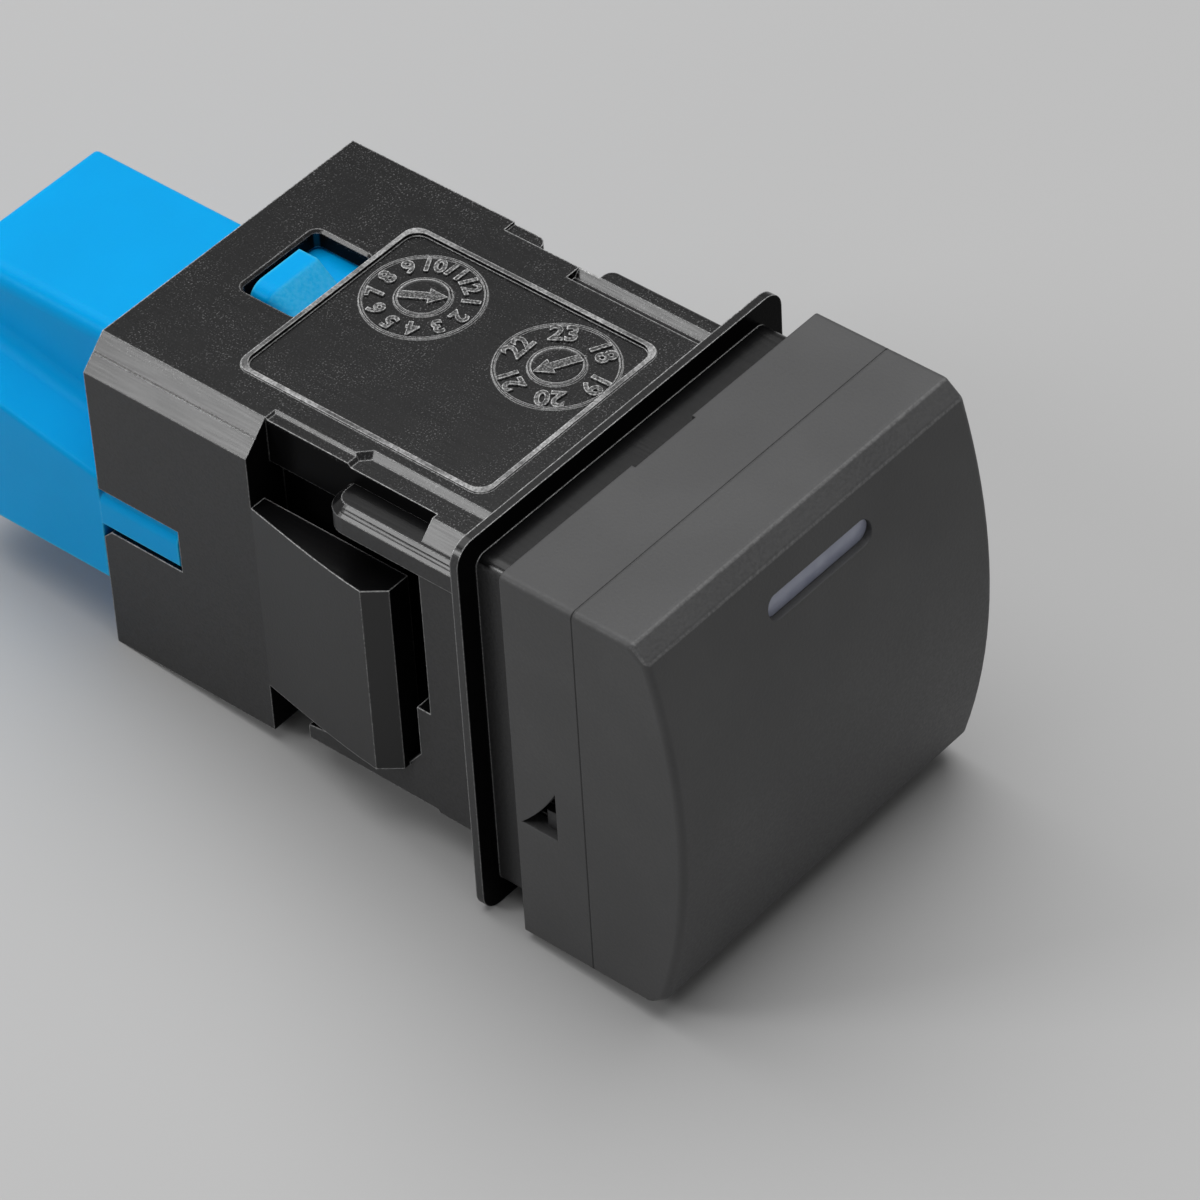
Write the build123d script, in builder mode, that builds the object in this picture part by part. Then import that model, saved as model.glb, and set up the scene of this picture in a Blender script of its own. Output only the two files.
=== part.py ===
from build123d import *
import os
from math import asin, cos, degrees, radians, sin, sqrt

os.makedirs("parts", exist_ok=True)

# Latching push switch with one lit bar, for a square panel cut-out.
# X points right seen from the front, Y points into the panel, Z points up.
# The origin is the middle of the flange's rear face, where the panel seats.

# Clearances
slide_gap = 0.15          # between pieces that slide on each other
seat_gap = 0.10           # between fixed pieces that drop into each other
contact_gap = 0.05        # between faces that touch lightly in use
stop_gap = 0.15           # cap to flange at full press

# Travel and latch
press_travel = 2.2        # full press
pin_wire = 0.6            # latch wire thickness
pin_reach = 9.0           # latch wire, pivot to tip
lane_offset = 1.2         # cam lane to the middle
pin_bend = 0.5
cam_depth = 1.0
leaf_thickness = 0.2
leaf_width = 3.0
leaf_foot_width = 6.4

# Button cap
cap_width = 22.5
cap_height = 22.4
cap_depth = 8.4           # front edge to rear rim
cap_crown = 1.55          # bulge of the face between its bevels
cap_wall = 0.9
cap_face_wall = 1.2
bevel_depth = 0.95        # top and bottom bevel, front to rear
bevel_drop = 0.75         # the same bevel, measured down the face
cap_side_round = 0.35     # edges of the two side walls
cap_edge_round = 0.5      # where face, bevel and skirt meet
rim_notch_width = 4.25    # shallow notch in the rear rim above the lit bar
rim_notch_depth = 0.2
seam_from_rim = 4.1       # parting groove round the cap
seam_width = 0.08
seam_depth = 0.03
bar_width = 7.3           # lit bar in the face
bar_height = 1.3
bar_drop = 2.9            # cap's top to the bar's middle
bar_recess = 0.25
notch_base = 3.77         # side notch, axis down to its floor
notch_rise = 2.95
notch_length = 2.15
notch_rim = 0.30          # skirt left behind the notch
rib_thickness = 1.0
rib_spacing = 12.4
rib_height = 13.0

# Flange and collar
flange_proud = 0.15       # beyond the cap's outline
flange_thickness = 0.45
flange_corner = 1.1
collar_wall = 0.75
collar_depth = 5.75
collar_corner = 0.6

# Holder body
body_width = 19.06
body_top = 9.2            # axis to top face
front_floor = 8.5         # axis to bottom face beside the clips
rear_floor = 9.4          # axis to bottom face round the base
body_bevel = 1.53         # long top corner on the left
body_length = 24.4        # flange to rear end
front_band = 3.8          # full-width band behind the flange
block_bevel = 0.8         # its own top corner on the left
rear_band = 10.2          # full-width band round the base
roof_wall = 1.0
side_wall = 0.95
waist_wall = 0.85
floor_wall = 0.8
pocket_wall = 0.8
rail_top = 8.0            # guide rail on each side, axis to its top
rail_height = 1.45
rail_proud = 0.2
rail_length = 9.3
rail_round = 0.6
right_rail_length = 8.5
right_rail_round = 0.35
shelf_depth = 0.3
shelf_breadth = 1.3       # sloped shelf beside the top plate at the front left
step_depth = 0.12
step_breadth = 0.7        # shallower step behind it
groove_length = 9.6       # sloped groove at the front right
groove_width = 0.9
groove_depth = 0.37
tab_length = 2.1          # tab in front of the rear band on the right
tab_drop = 0.15
tab_round = 0.6
lug_length = 1.4          # small lug at the rear right corner
lug_height = 0.9
lug_proud = 0.25
bead_radius = 0.45
seam_groove = 0.07        # parting groove along the bevels

# Snap clips in the side walls
clip_top = 4.7            # axis to the clip's upper edge
clip_bottom = 6.5         # axis to its lower edge
clip_thickness = 0.95
clip_tip = 5.4            # flange to the clip's free end
clip_crest = 6.45         # flange to its highest point
clip_bulge = 1.2          # how far the crest stands out
clip_catch = 0.35         # how far the free end stands out
skirt_thickness = 0.9

# Top label field
field_depth = 0.12
field_front = 2.75
field_rear = 17.7
field_left = 6.05
field_right = 6.40
field_corner = 0.8
field_rim = 0.25          # raised rim round the field
field_rim_height = 0.08
dial_radius = 3.03
dial_hub_radius = 1.4
dial_line = 0.14
dial_relief = 0.07
dial_column = 2.84        # axis to the dials' middles
dial_front = 5.91
dial_rear = 14.09
arrow_length = 1.9        # bar of the arrow
arrow_bar = 0.5
arrow_head = 0.55         # middle to tip
arrow_turn_front = -24.0  # degrees from X
arrow_turn_rear = -40.0

# Latch windows in roof and floor, and the slots in the sides
window_from_end = 3.0     # holder's rear end to the window
window_length = 3.6
window_left = 1.85
window_right = 3.50
window_corner = 0.4
window_bevel = 0.15
key_top = 0.45            # side slot, axis up to its roof
key_bottom = 2.10         # axis down to its floor
key_length = 5.1          # open at the rear end
slot_corner = 0.5         # lower rear corner of the slot

# Slider
stem_width = 12.4
stem_play = 1.3           # stem to spring seat at full press
stem_below_board = 0.7
tray_gap = 0.25           # tray to collar
tray_setback = 2.6        # cap edge to tray face
tray_plate = 0.8
tray_rim = 4.3
tray_wall = 0.8
stem_web = 1.2            # under the return spring
skid_width = 1.4
tooth_length = 0.8
tooth_height = 1.0
tooth_depth = 0.45        # how far the tooth enters the cap's notch

# Return spring
spring_radius = 2.45      # mean coil radius
spring_wire = 0.45
spring_coils = 6
spring_axis = -2.0
spring_seat = 4.0         # flange to the bottom of the stem's bore
spring_play = 0.275       # coil to bore
boss_radius = 1.7
boss_length = 2.5

# Wipers and their springs
wiper_spacing = 6.4
wiper_at = 6.0            # flange to the wiper's middle
wiper_width = 1.6
wiper_length = 5.0
wiper_sheet = 0.25
wiper_bed = 0.7           # depth of the bed that keeps it in place
wiper_bed_play = 0.15
wiper_spring_radius = 0.75
wiper_spring_wire = 0.2
wiper_spring_coils = 4
wiper_pocket_depth = 2.4

# Circuit board and what it carries
board_below_top = 4.0     # holder's top to the board's underside
board_thickness = 1.0
board_front = 3.0
pad_thickness = 0.05
led_radius = 1.5
led_length = 4.0
led_spacing = 3.6
led_overhang = 4.4        # lamp's tip in front of the board
lead_thickness = 0.5
lead_spacing = 1.28
lead_length = 3.0
chip_length = 3.2
chip_width = 1.6
chip_height = 0.6
chip_at = 9.0

# Terminals
blade_width = 1.5
blade_thickness = 0.6
blade_set_in = 1.9        # blade tips inside the socket's mouth
blade_taper = 0.4
low_row = -2.5
low_leg_forward = 2.0     # plug front to the middle of the low row's legs
high_leg_forward = 0.8    # the same for the high row
leg_proud = 0.4           # above the board
low_columns = (-4.6, 0.0, 4.6)
high_columns = (-4.6, 0.0)

# Connector base
plug_length = 7.4         # part of the base inside the holder's rear band
box_length = 3.5          # spring seat to the plug
seat_wall = 1.0
box_wall = 0.6
box_floor = 1.6
socket_back_wall = 5.5
socket_length = 10.5      # holder to the mouth
shroud_top = 8.2
shroud_left = 7.2
shroud_right = 2.6
shroud_bottom = 5.24
shroud_wall = 0.9
shroud_round = 0.9
wing_left = 9.5
wing_right = 8.4
wing_rise = 1.7           # slope between wing and upper wall
ledge_front = 1.07        # wing edge at the holder
ledge_rear = 3.15         # wing edge at the mouth
wing_round = 0.4
wing_cove = 1.4
mouth_round = 0.3
step_right = 0.2          # right-hand step, axis down to its outer edge
step_rise = 1.4
low_socket_side = 7.4
key_play = 0.10
key_round = 0.9
key_low_edge = 0.25
hook_height = 1.05
hook_left = 1.6
hook_right = 2.0
hook_ramp = 1.25
hook_flat = 1.15
hook_edge = 0.3
hook_round = 0.95
leaf_clip_width = 1.0     # feet that hold the leaf down

# Places worked out from the sizes above
cap_rear = -(flange_thickness + press_travel + stop_gap)
cap_front = cap_rear - cap_depth
cap_half = cap_width / 2
cap_half_height = cap_height / 2
bar_height_above_axis = cap_half_height - bar_drop
flange_width = cap_width + 2 * flange_proud
flange_height = cap_height + 2 * flange_proud
collar_half = cap_half - cap_wall - slide_gap
collar_half_height = cap_half_height - cap_wall - slide_gap
collar_front = -flange_thickness - collar_depth
tray_half = collar_half - collar_wall - tray_gap
tray_half_height = collar_half_height - collar_wall - tray_gap
tray_front = cap_front + tray_setback
stem_start = tray_front + tray_plate
body_half = body_width / 2
shoulder_half = body_half - body_bevel
block_half = shoulder_half + block_bevel
rail_outer = body_half + rail_proud
shelf_half = shoulder_half - shelf_breadth
step_half = shoulder_half - step_breadth
waist_front = front_band
waist_rear = body_length - rear_band
window_rear = body_length - window_from_end
window_front = window_rear - window_length
plug_front = body_length - plug_length
base_front = plug_front - box_length
socket_floor = plug_front + socket_back_wall
socket_mouth = body_length + socket_length
blade_tip = socket_mouth - blade_set_in
low_leg = plug_front - low_leg_forward
high_leg = plug_front - high_leg_forward
board_bottom = body_top - board_below_top
board_rear = plug_front - contact_gap
stem_rear = base_front - press_travel - stem_play
stem_top = board_bottom - stem_below_board
led_front = board_front - led_overhang
stem_half = stem_width / 2
cavity_half = stem_half + slide_gap
waist_half = cavity_half + waist_wall
cavity_roof = body_top - roof_wall
cavity_floor = -(front_floor - floor_wall)
base_half = body_half - side_wall
base_roof = body_top - roof_wall
base_floor = -(rear_floor - side_wall)
pin_axis = cavity_floor + leaf_thickness + contact_gap + pin_wire / 2
stem_bottom = pin_axis + pin_wire / 2 + slide_gap
pin_pivot = base_front + seat_wall + pin_wire
pin_swing = asin(lane_offset / pin_reach)
tip_in_lane = pin_pivot - pin_reach * cos(pin_swing)
tip_in_middle = pin_pivot - pin_reach
board_top = board_bottom + board_thickness
board_half = stem_half
led_axis = board_top + lead_thickness / 2
high_row = board_bottom - contact_gap - blade_thickness / 2
crown_radius = ((cap_half_height - bevel_drop) ** 2 + cap_crown**2) / (2 * cap_crown)


def front_view(y):
    """Plane across the switch at depth y: local x right, local y up, normal to the front."""
    return Plane.XZ.offset(-y)


def span_box(x_span, y_span, z_span, mode=Mode.ADD):
    """Box between two limits on each axis."""
    sizes = [high - low for low, high in (x_span, y_span, z_span)]
    middle = [(high + low) / 2 for low, high in (x_span, y_span, z_span)]
    with Locations(tuple(middle)):
        Box(*sizes, mode=mode)


def bevelled_outline(half, bottom, top, bevel):
    """Upright section with its upper left corner bevelled."""
    Polyline((-half, bottom), (half, bottom), (half, top), (bevel - half, top), (-half, top - bevel),
             close=True)


def crown_setback(height):
    """How far the cap's face lies behind its crest at a height above the axis."""
    return crown_radius - sqrt(crown_radius**2 - height**2)


def cap_side_outline(inset, front_inset):
    """Side view of the cap: bulged face, a bevel above and below, straight skirt."""
    top = cap_half_height - inset
    front = cap_front + front_inset
    face = ThreePointArc((front, bevel_drop - top), (front - cap_crown, 0), (front, top - bevel_drop))
    Polyline(face @ 1, (front + bevel_depth, top), (cap_rear, top), (cap_rear, -top),
             (front + bevel_depth, -top), face @ 0)


# Button cap: crowned face, bevelled edges, open skirt, lit bar slot, notches and seats.
with BuildPart() as button_cap:
    with BuildSketch(Plane.YZ):
        with BuildLine():
            cap_side_outline(0, 0)
        make_face()
        fillet(vertices().sort_by(Axis.X)[:4], cap_edge_round)
    extrude(amount=cap_half, both=True)
    side_edges = faces().filter_by(Axis.X).edges()
    fillet(side_edges.filter_by(lambda e: e.center().Y < cap_rear - seam_width), cap_side_round)
    with BuildSketch(Plane.YZ):
        with BuildLine():
            cap_side_outline(cap_wall, cap_face_wall)
        make_face()
    extrude(amount=cap_half - cap_wall, both=True, mode=Mode.SUBTRACT)
    # Parting groove all the way round the skirt
    with BuildSketch(front_view(cap_rear - seam_from_rim)):
        Rectangle(2 * cap_width, 2 * cap_height)
        RectangleRounded(cap_width - 2 * seam_depth, cap_height - 2 * seam_depth, cap_side_round,
                         mode=Mode.SUBTRACT)
    extrude(amount=seam_width, mode=Mode.SUBTRACT)
    # Two upright ribs behind the face seat on the slider's tray
    with BuildSketch(front_view(tray_front)):
        with Locations((-rib_spacing / 2, 0), (rib_spacing / 2, 0)):
            Rectangle(rib_thickness, rib_height)
    extrude(amount=tray_setback)
    with BuildSketch(front_view(tray_front)):
        with Locations((0, bar_height_above_axis)):
            SlotOverall(bar_width, bar_height)
    extrude(amount=tray_setback + cap_crown, mode=Mode.SUBTRACT)
    span_box((-rim_notch_width / 2, rim_notch_width / 2), (cap_rear - rim_notch_depth, cap_rear),
             (cap_half_height - cap_wall, cap_half_height), mode=Mode.SUBTRACT)
    # Three-cornered notch through both side walls near the rear rim
    with BuildSketch(Plane.YZ):
        notch_rear = cap_rear - notch_rim
        with BuildLine():
            Polyline((notch_rear, -notch_base), (notch_rear - notch_length, -notch_base),
                     (notch_rear - notch_length, notch_rise - notch_base))
            ThreePointArc((notch_rear - notch_length, notch_rise - notch_base),
                          (notch_rear - 0.44 * notch_length, 0.36 * notch_rise - notch_base),
                          (notch_rear, -notch_base))
        make_face()
    extrude(amount=cap_half, both=True, mode=Mode.SUBTRACT)
button_cap.part.label = "button_cap"
export_step(button_cap.part, "parts/button_cap.step")

# Light guide: bar-shaped tip in the face, a flange held on the tray, a tapered body to the lamps.
guide_tip_front = cap_front - cap_crown + crown_setback(bar_height_above_axis) + bar_recess
guide_shoulder = cap_front + cap_face_wall - crown_setback(cap_half_height - bevel_drop) + cap_crown
guide_rear = led_front - press_travel - slide_gap - contact_gap
guide_width = led_spacing + 2 * led_radius + slide_gap
guide_flange_top = bar_height_above_axis + bar_height / 2 + 0.1
with BuildPart() as light_guide:
    with BuildSketch(front_view(guide_shoulder)):
        with Locations((0, bar_height_above_axis)):
            SlotOverall(bar_width - contact_gap, bar_height - contact_gap)
    extrude(amount=guide_shoulder - guide_tip_front)
    with BuildSketch(front_view(tray_front)):
        with Locations((0, guide_flange_top)):
            Rectangle(1.28 * bar_width, 2.2 * bar_height, align=(Align.CENTER, Align.MAX))
    extrude(amount=tray_front - guide_shoulder)
    with BuildSketch(front_view(tray_front)):
        with Locations((0, guide_flange_top - bar_height)):
            Rectangle(guide_width, 1.6 * bar_height)
    with BuildSketch(front_view(guide_rear)):
        with Locations((0, led_axis)):
            Rectangle(guide_width, 2 * led_radius)
    loft()
light_guide.part.label = "light_guide"
export_step(light_guide.part, "parts/light_guide.step")

# Slider: tray behind the cap, stem with spring bore, skids, wiper beds and the heart-shaped cam.
cam_front = tip_in_middle - press_travel - pin_wire / 2 - slide_gap
cam_rear = tip_in_lane + pin_wire / 2 + slide_gap
cam_half = lane_offset + pin_wire / 2 + slide_gap
island_rear = tip_in_middle - pin_wire / 2 - slide_gap
island_front = tip_in_lane - press_travel + pin_wire / 2 + contact_gap
island_half = lane_offset - pin_wire / 2 - slide_gap
island_length = island_rear - island_front
bore_radius = spring_radius + spring_wire / 2 + spring_play
wiper_floor = stem_top - wiper_bed
with BuildPart() as slider:
    with BuildSketch(front_view(stem_start)):
        Rectangle(2 * tray_half, 2 * tray_half_height)
    extrude(amount=tray_plate)
    with BuildSketch(front_view(stem_start + tray_rim)):
        Rectangle(2 * tray_half, 2 * tray_half_height)
        Rectangle(2 * (tray_half - tray_wall), 2 * (tray_half_height - tray_wall), mode=Mode.SUBTRACT)
    extrude(amount=tray_rim)
    # Stem: an H-shaped bar, its four legs running on the holder's floor and under the board
    with BuildSketch(front_view(stem_rear)):
        leg_middle = stem_half - skid_width / 2
        leg_low = cavity_floor + slide_gap
        leg_high = board_bottom - slide_gap
        with Locations((0, (stem_top + stem_bottom) / 2)):
            Rectangle(2 * stem_half, stem_top - stem_bottom)
        with Locations((-leg_middle, (leg_low + leg_high) / 2), (leg_middle, (leg_low + leg_high) / 2)):
            Rectangle(skid_width, leg_high - leg_low)
    extrude(amount=stem_rear - stem_start)
    with BuildSketch(front_view(stem_rear)):
        with Locations((0, spring_axis)):
            Circle(bore_radius)
    extrude(amount=stem_rear - spring_seat, mode=Mode.SUBTRACT)
    # Coring from the front keeps the stem's walls even
    with BuildSketch(front_view(tray_front)):
        with Locations((0, spring_axis)):
            RectangleRounded(2 * bore_radius, 2 * bore_radius, 0.8)
    extrude(amount=-(spring_seat - stem_web - tray_front), mode=Mode.SUBTRACT)
    # Beds and spring pockets for the two wipers
    for wiper_x in (-wiper_spacing / 2, wiper_spacing / 2):
        with BuildSketch(Plane.XY.offset(stem_top)):
            with Locations((wiper_x, wiper_at)):
                Rectangle(wiper_width + 2 * wiper_bed_play, wiper_length + 2 * wiper_bed_play)
        extrude(amount=-wiper_bed, mode=Mode.SUBTRACT)
        with BuildSketch(Plane.XY.offset(wiper_floor)):
            with Locations((wiper_x, wiper_at)):
                Circle(wiper_spring_radius + wiper_spring_wire / 2 + slide_gap)
        extrude(amount=-wiper_pocket_depth, mode=Mode.SUBTRACT)
    # Heart cam in the underside: a pocket for the wire's tip round a heart-shaped island
    with BuildSketch(Plane.XY.offset(stem_bottom)):
        with Locations((0, (cam_front + cam_rear) / 2)):
            RectangleRounded(2 * cam_half, cam_rear - cam_front, pin_wire / 2)
        with BuildLine(mode=Mode.PRIVATE) as heart:
            notch = (0, island_front + 0.22 * island_length)
            right_lobe = (0.55 * island_half, island_front)
            right_flank = (island_half, island_front + 0.40 * island_length)
            point = (0, island_rear)
            left_flank = (-island_half, island_front + 0.40 * island_length)
            left_lobe = (-0.55 * island_half, island_front)
            Polyline(notch, right_lobe, right_flank, point, left_flank, left_lobe, close=True)
        make_face(heart.edges(), mode=Mode.SUBTRACT)
    extrude(amount=cam_depth, mode=Mode.SUBTRACT)
    # Opening for the light guide through plate and rim
    span_box((-guide_width / 2 - slide_gap, guide_width / 2 + slide_gap),
             (tray_front, stem_start + tray_rim),
             (board_bottom + slide_gap, tray_half_height), mode=Mode.SUBTRACT)
    # A tooth on each side enters the cap's notch
    tooth_front = cap_rear - notch_rim - notch_length + slide_gap
    with BuildSketch(Plane.YZ):
        with Locations((tooth_front, slide_gap - notch_base)):
            Rectangle(tooth_length, tooth_height, align=(Align.MIN, Align.MIN))
    extrude(amount=cap_half - cap_wall + tooth_depth, both=True)
    with BuildSketch(Plane.YZ):
        with Locations((tooth_front, slide_gap - notch_base)):
            Rectangle(tooth_length, tooth_height, align=(Align.MIN, Align.MIN))
    extrude(amount=tray_half - tray_wall, both=True, mode=Mode.SUBTRACT)
slider.part.label = "slider"
export_step(slider.part, "parts/slider.step")

# Holder: flange, collar, two full-width bands joined by a waist, and everything moulded on them.
with BuildPart() as holder:
    with BuildSketch(front_view(0)):
        RectangleRounded(flange_width, flange_height, flange_corner)
    extrude(amount=flange_thickness)
    with BuildSketch(front_view(-flange_thickness)):
        RectangleRounded(2 * collar_half, 2 * collar_half_height, collar_corner)
    extrude(amount=collar_depth)
    with BuildSketch(front_view(front_band)):
        with BuildLine():
            bevelled_outline(block_half, -front_floor, body_top, block_bevel)
        make_face()
        with Locations((0, -front_floor)):
            Rectangle(body_width, front_floor + rail_top - rail_height, align=(Align.CENTER, Align.MIN))
    extrude(amount=front_band)
    with BuildSketch(front_view(body_length)):
        with BuildLine():
            bevelled_outline(body_half, -rear_floor, body_top, body_bevel)
        make_face()
    extrude(amount=rear_band)
    with BuildSketch(front_view(waist_rear)):
        with Locations((0, body_top)):
            Rectangle(2 * waist_half, body_top + front_floor, align=(Align.CENTER, Align.MAX))
        with Locations((block_half, body_top)):
            Rectangle(block_half + shoulder_half, body_top - rail_top + rail_height, align=Align.MAX)
    extrude(amount=waist_rear - waist_front)
    # Sloped shelf and a shallow step behind it along the plate's left edge
    with BuildSketch(Plane.XY.offset(body_top)):
        jog = step_half - shelf_half
        with BuildLine():
            Polyline((-shelf_half, 0), (-shelf_half, rail_length - jog), (-step_half, rail_length),
                     (-body_width, rail_length), (-body_width, 0), close=True)
        make_face()
    extrude(amount=-shelf_depth, taper=45, mode=Mode.SUBTRACT)
    with BuildSketch(Plane.XY.offset(body_top)):
        with Locations((-step_half, waist_rear)):
            Rectangle(body_half, waist_rear - rail_length + shelf_depth, align=Align.MAX)
    extrude(amount=-step_depth, taper=45, mode=Mode.SUBTRACT)
    # Label field on top: raised rim, sunk floor, two dials with an arrow each
    field_middle = ((field_right - field_left) / 2, (field_front + field_rear) / 2)
    field_width = field_left + field_right
    field_length = field_rear - field_front
    with BuildSketch(Plane.XY.offset(body_top)):
        with Locations(field_middle):
            RectangleRounded(field_width + field_rim, field_length + field_rim, field_corner)
    extrude(amount=field_rim_height)
    with BuildSketch(Plane.XY.offset(body_top + field_rim_height)):
        with Locations(field_middle):
            RectangleRounded(field_width - field_rim, field_length - field_rim, field_corner)
    extrude(amount=-field_rim_height - field_depth, mode=Mode.SUBTRACT)
    with BuildSketch(Plane.XY.offset(body_top - field_depth)):
        with Locations((dial_column, dial_front), (dial_column, dial_rear)):
            Circle(dial_radius)
            Circle(dial_radius - dial_line, mode=Mode.SUBTRACT)
            Circle(dial_hub_radius)
            Circle(dial_hub_radius - dial_line, mode=Mode.SUBTRACT)
        for dial_y, turn in ((dial_front, arrow_turn_front), (dial_rear, arrow_turn_rear)):
            with Locations(Location((dial_column, dial_y, 0), (0, 0, turn))):
                Rectangle(arrow_length, arrow_bar)
                with Locations((arrow_length / 2, 0)):
                    RegularPolygon(arrow_head, 3)
    extrude(amount=dial_relief)
    # Parting groove along the bevel of the rear band
    with BuildSketch(front_view(body_length)):
        with Locations((-(body_half + shoulder_half) / 2, body_top - body_bevel / 2)):
            Rectangle(seam_groove, seam_groove, rotation=45)
    extrude(amount=rear_band, mode=Mode.SUBTRACT)
    # Guide rails with a rounded end: a low one on the left, on the right one as high as the top plate
    rail_bottom = rail_top - rail_height
    with BuildSketch(Plane.XY.offset(rail_bottom)):
        with Locations((-rail_outer, 0)):
            Rectangle(rail_outer, rail_length, align=Align.MIN)
        fillet(vertices().sort_by_distance((-rail_outer, rail_length, 0))[0], 2 * rail_round)
    extrude(amount=rail_height)
    rail_edges = edges().filter_by(Axis.Y).filter_by(lambda e: abs(e.center().X + rail_outer) < 0.01)
    fillet(rail_edges, rail_round)
    with BuildSketch(Plane.XY.offset(rail_bottom)):
        with Locations((rail_outer, 0)):
            Rectangle(rail_outer - shoulder_half, right_rail_length, align=(Align.MAX, Align.MIN))
        fillet(vertices().sort_by_distance((rail_outer, right_rail_length, 0))[0], rail_round)
    extrude(amount=body_top - rail_bottom)
    rail_edges = edges().filter_by(Axis.Y).filter_by(lambda e: abs(e.center().X - rail_outer) < 0.01)
    fillet(rail_edges, right_rail_round)
    # Sloped groove beside the right rail, and a tab and a lug further back
    with BuildSketch(front_view(groove_length)):
        with BuildLine():
            Polyline((block_half, body_top), (block_half - groove_depth, body_top - groove_depth),
                     (block_half - groove_width, body_top - groove_depth),
                     (block_half - groove_width, body_top), close=True)
        make_face()
    extrude(amount=groove_length, mode=Mode.SUBTRACT)
    with BuildSketch(Plane.XY.offset(body_top - tab_drop)):
        with Locations((body_half, waist_rear)):
            Rectangle(body_half - shoulder_half, tab_length, align=Align.MAX)
        fillet(vertices().sort_by_distance((body_half, waist_rear - tab_length, 0))[0], tab_round)
    extrude(amount=-side_wall)
    span_box((body_half, body_half + lug_proud), (body_length - lug_length, body_length),
             (body_top - side_wall - lug_height, body_top - side_wall))
    # Snap clips: tongues rooted in the rear band, bulged out towards their free ends
    with BuildSketch(Plane.XY.offset(-clip_bottom)):
        with BuildLine():
            root = (-body_half, waist_rear)
            crest = (-body_half - clip_bulge, clip_crest)
            free_end = (-body_half - clip_catch, clip_tip)
            ramp = Spline(root, crest, tangents=((-0.18, -1), (-0.08, -1)))
            Polyline(ramp @ 1, free_end, (-body_half + clip_thickness, clip_tip),
                     (-body_half + clip_thickness, waist_rear), ramp @ 0)
        make_face()
        mirror(about=Plane.YZ)
    extrude(amount=clip_bottom + clip_top)
    # Lower side skirts with a stepped front corner
    for side in (-1, 1):
        with BuildSketch(Plane.YZ.offset(side * body_half)):
            with BuildLine():
                Polyline((0, 0.28 * -front_floor), (clip_tip - 0.77, 0.28 * -front_floor),
                         (clip_tip - 0.77, 0.63 * -front_floor), (clip_tip + 0.3, 0.79 * -front_floor),
                         (clip_tip + clip_crest, -front_floor + floor_wall),
                         (clip_tip + clip_crest, -front_floor), (0, -front_floor), close=True)
            make_face()
        extrude(amount=-side * skirt_thickness)
    span_box((-body_half, body_half), (front_band, clip_tip + clip_crest),
             (-front_floor, -front_floor + floor_wall))
    with BuildSketch(front_view(front_band)):
        with Locations((bead_radius - body_half, -front_floor), (body_half - bead_radius, -front_floor)):
            Circle(bead_radius)
    extrude(amount=front_band)
    # Cores: through the collar, the waist and the rear band
    with BuildSketch(front_view(-flange_thickness)):
        Rectangle(2 * (collar_half - collar_wall), 2 * (collar_half_height - collar_wall))
    extrude(amount=collar_depth, mode=Mode.SUBTRACT)
    span_box((-cavity_half, cavity_half), (-flange_thickness, waist_rear + pocket_wall),
             (cavity_floor, cavity_roof), mode=Mode.SUBTRACT)
    with BuildSketch(front_view(body_length)):
        with BuildLine():
            bevelled_outline(base_half, base_floor, base_roof, body_bevel - side_wall / 2)
        make_face()
    extrude(amount=rear_band - pocket_wall, mode=Mode.SUBTRACT)
    # Pockets that thin the front band beside the waist
    for side in (-1, 1):
        inner = side * waist_half
        outer = side * (body_half - pocket_wall)
        span_box((min(inner, outer), max(inner, outer)), (pocket_wall, front_band),
                 (-clip_bottom, clip_top), mode=Mode.SUBTRACT)
    # Slots in the collar for the slider's teeth
    tooth_low = slide_gap - notch_base
    span_box((-collar_half, collar_half), (collar_front, tooth_front + tooth_length + press_travel + slide_gap),
             (tooth_low - slide_gap, tooth_low + tooth_height + slide_gap), mode=Mode.SUBTRACT)
    # Latch windows through roof and floor, the upper one with a bevelled rim
    window_middle = ((window_right - window_left) / 2, (window_front + window_rear) / 2)
    window_width = window_left + window_right
    with BuildSketch(Plane.XY.offset(-rear_floor)):
        with Locations(window_middle):
            RectangleRounded(window_width, window_length, window_corner)
    extrude(amount=rear_floor + body_top, mode=Mode.SUBTRACT)
    with BuildSketch(Plane.XY.offset(body_top)):
        with Locations(window_middle):
            RectangleRounded(window_width + 2 * window_bevel, window_length + 2 * window_bevel,
                             window_corner + window_bevel)
    extrude(amount=-window_bevel, taper=45, mode=Mode.SUBTRACT)
    # Key slots, open at the rear
    span_box((-body_half, body_half), (body_length - key_length, body_length),
             (-key_bottom, key_top), mode=Mode.SUBTRACT)
    with BuildSketch(Plane.YZ):
        with BuildLine():
            Polyline((body_length, -key_bottom), (body_length - slot_corner, -key_bottom),
                     (body_length, -key_bottom - slot_corner), close=True)
        make_face()
    extrude(amount=body_half, both=True, mode=Mode.SUBTRACT)
    # Two ribs under the roof hold the board down
    for side in (-1, 1):
        rib_outer = side * cavity_half
        rib_inner = side * (cavity_half - skid_width / 2)
        span_box((min(rib_inner, rib_outer), max(rib_inner, rib_outer)), (board_front, waist_rear),
                 (board_top + contact_gap, cavity_roof))
holder.part.label = "holder"
export_step(holder.part, "parts/holder.step")

# Connector base: front box with the spring seat, plug that fills the rear band, keyed socket.
plug_half = base_half - slide_gap
plug_roof = base_roof - slide_gap
plug_floor = base_floor + slide_gap
shroud_front = body_length + contact_gap
socket_roof = shroud_top - shroud_wall
socket_bottom = shroud_wall - shroud_bottom
box_top = high_row - blade_thickness / 2 - contact_gap


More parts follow.
